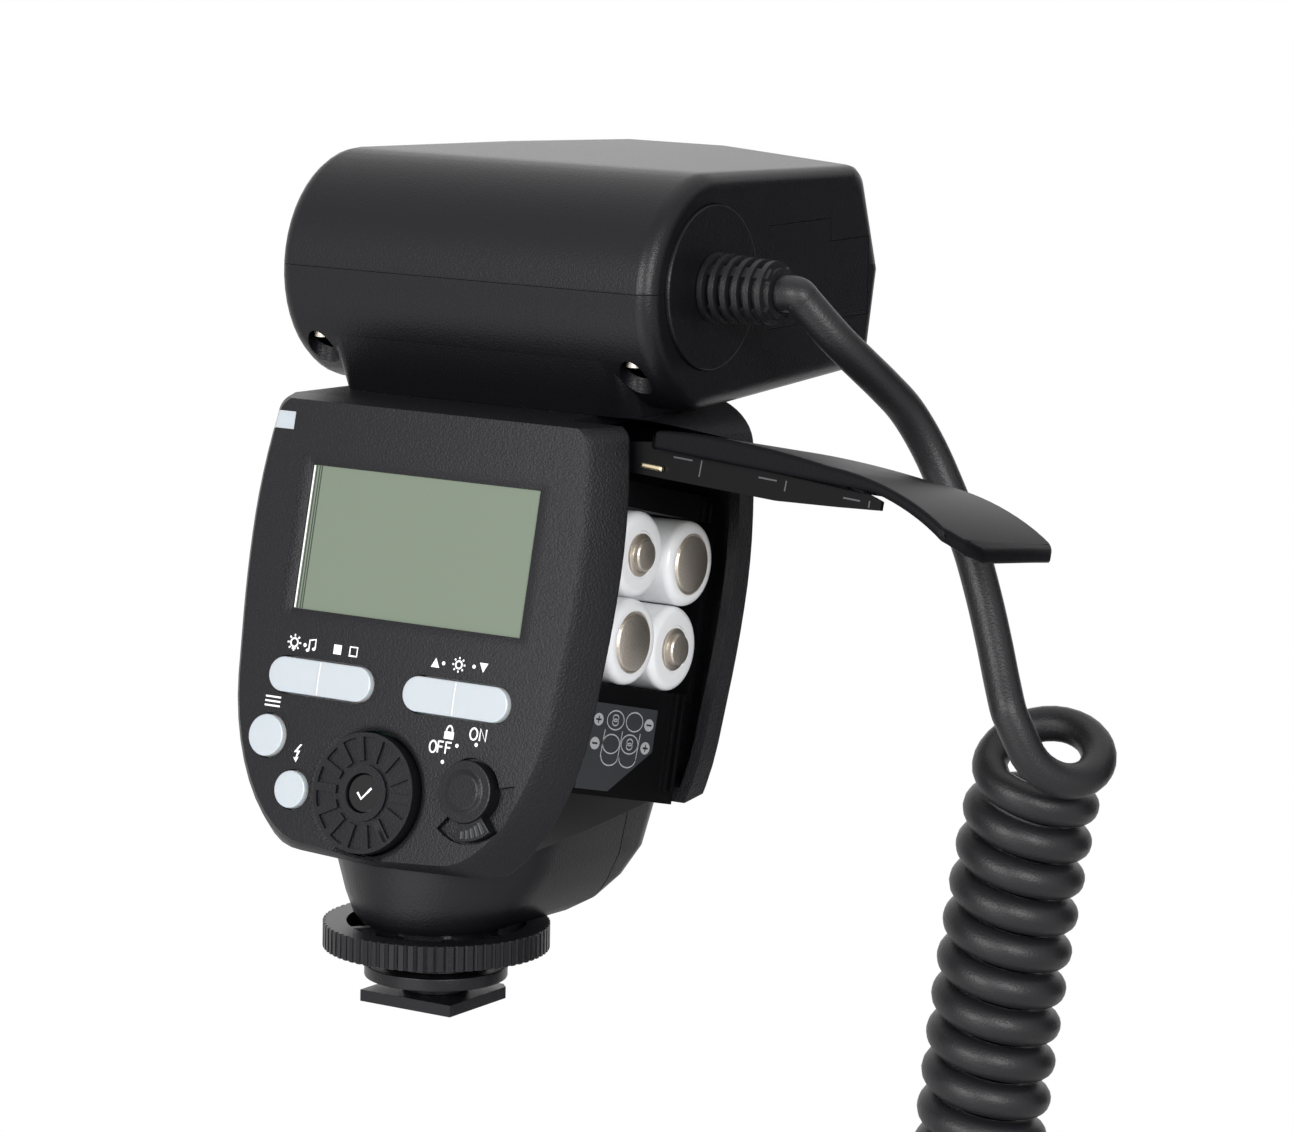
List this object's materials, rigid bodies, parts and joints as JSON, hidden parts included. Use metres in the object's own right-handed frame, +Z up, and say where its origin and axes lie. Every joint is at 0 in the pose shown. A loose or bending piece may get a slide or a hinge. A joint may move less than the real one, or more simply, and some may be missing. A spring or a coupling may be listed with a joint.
{
  "type": "macro ring flash",
  "caption": "Macro ring flash: a hot-shoe controller with a display, an open battery door and AA cells, joined by a curly cord to a ring-shaped flash head.",
  "frame": {"origin": "centre of the underside of the hot-shoe foot", "axes": "+X to the right as seen from behind, +Y forwards along the lens axis, +Z up; the panel faces -Y"},
  "size_m": [0.176, 0.1003, 0.3838],
  "materials": {
    "case_plastic": "fine grained satin black",
    "shell_plastic": "smooth satin black",
    "gloss_plastic": "gloss black",
    "milky_plastic": "milky translucent",
    "display": "grey-green display under clear glass",
    "red_plastic": "deep red, translucent",
    "board": "solder mask",
    "label": "printed label",
    "wrapper": "white wrapper on a metal can",
    "contact_metal": "plated spring metal",
    "steel": "plain steel",
    "capacitor": "black sleeve",
    "rubber": "matte dark grey rubber",
    "diffuser": "frosted clear",
    "reflector": "bright",
    "tube_glass": "clear"
  },
  "bodies": {
    "controller": {"rear_panel": "case_plastic", "front_case": "case_plastic", "base_housing": "shell_plastic", "front_base_cover": "shell_plastic", "red_window": "red_plastic", "status_window": "milky_plastic", "display_glass": "display", "display_module": "gloss_plastic", "main_board": "board", "battery_cage": "gloss_plastic", "inner_contacts": "contact_metal", "aa_cell_rear_top": "wrapper", "aa_cell_front_top": "wrapper", "aa_cell_rear_low": "wrapper", "aa_cell_front_low": "wrapper", "polarity_plate": "label", "hinge_pin": "steel", "head_upper_shell": "shell_plastic", "head_lower_shell": "shell_plastic", "head_side_cover": "shell_plastic", "cord_boss": "shell_plastic", "head_screws": "steel", "flash_capacitor": "capacitor", "inverter_board": "board", "cord_boot": "rubber", "shoe_foot": "shell_plastic", "shoe_contacts": "contact_metal", "shoe_screws": "steel", "cord_upper_lead": "rubber", "cord_curls": "rubber", "cord_lower_lead": "rubber", "ring_boot": "rubber", "ring_rear_shell": "shell_plastic", "ring_front_shell": "shell_plastic", "ring_diffusers": "diffuser", "ring_reflectors": "reflector", "flash_tubes": "tube_glass", "focus_lamps": "diffuser", "trigger_board": "board", "ring_screws": "steel"},
    "door": {"door_hinge_plate": "gloss_plastic", "door_contacts": "contact_metal"},
    "door_cover": {"door_cover": "case_plastic"},
    "left_rocker": {"left_rocker": "milky_plastic"},
    "right_rocker": {"right_rocker": "milky_plastic"},
    "mode_button": {"mode_button": "milky_plastic"},
    "test_button": {"test_button": "milky_plastic"},
    "selector_dial": {"selector_dial": "shell_plastic"},
    "set_button": {"set_button": "gloss_plastic"},
    "power_switch": {"power_switch": "shell_plastic"},
    "lock_wheel": {"lock_wheel": "shell_plastic"},
    "clamp": {"clamp_disc": "shell_plastic", "lock_pin": "steel"},
    "left_release": {"left_release": "shell_plastic"},
    "right_release": {"right_release": "shell_plastic"}
  },
  "joints": [
    {"name": "door_swing", "type": "hinge", "parent": "controller", "child": "door", "pos_m": [0.0302, 0.02019, 0.09218], "axis": [0, 0.9823, -0.1874], "range_deg": [0, 86]},
    {"name": "cover_slide", "type": "slide", "parent": "door", "child": "door_cover", "axis": [0.9968, -0.0508, -0.0613], "range_m": [-0.003, 0]},
    {"name": "left_rocker_tilt", "type": "hinge", "parent": "controller", "child": "left_rocker", "pos_m": [-0.0145, -0.01031, 0.05478], "axis": [0, 0.225, 0.9744], "range_deg": [-2.5, 2.5], "stiffness_Nm_per_rad": 0.05},
    {"name": "right_rocker_tilt", "type": "hinge", "parent": "controller", "child": "right_rocker", "pos_m": [0.0132, -0.01033, 0.05468], "axis": [0, 0.225, 0.9744], "range_deg": [-2.5, 2.5], "stiffness_Nm_per_rad": 0.05},
    {"name": "mode_press", "type": "slide", "parent": "controller", "child": "mode_button", "axis": [0, 0.9744, -0.225], "range_m": [0, 0.0005], "stiffness_N_per_m": 400},
    {"name": "test_press", "type": "slide", "parent": "controller", "child": "test_button", "axis": [0, 0.9744, -0.225], "range_m": [0, 0.0005], "stiffness_N_per_m": 400},
    {"name": "set_press", "type": "slide", "parent": "controller", "child": "set_button", "axis": [0, 0.9744, -0.225], "range_m": [0, 0.0005], "stiffness_N_per_m": 400},
    {"name": "dial_turn", "type": "hinge", "parent": "controller", "child": "selector_dial", "pos_m": [-0.002, -0.0176, 0.0383], "axis": [0, 0.9744, -0.225], "continuous": true},
    {"name": "switch_turn", "type": "hinge", "parent": "controller", "child": "power_switch", "pos_m": [0.01835, -0.01696, 0.04108], "axis": [0, -0.9744, 0.225], "range_deg": [0, 56]},
    {"name": "wheel_turn", "type": "hinge", "parent": "controller", "child": "lock_wheel", "pos_m": [0, 0, 0.0115], "axis": [0, 0, 1], "range_deg": [-270, 90]},
    {"name": "clamp_slide", "type": "slide", "parent": "controller", "child": "clamp", "axis": [0, 0, 1], "range_m": [-0.0009, 0.0003]},
    {"name": "left_release_press", "type": "slide", "parent": "controller", "child": "left_release", "axis": [1, 0, 0], "range_m": [0, 0.0012], "stiffness_N_per_m": 400},
    {"name": "right_release_press", "type": "slide", "parent": "controller", "child": "right_release", "axis": [-1, 0, 0], "range_m": [0, 0.0012], "stiffness_N_per_m": 400}
  ],
  "couplings": [
    {"joint": "clamp_slide", "follows": "wheel_turn", "m_per_rad": 0.00019099}
  ]
}
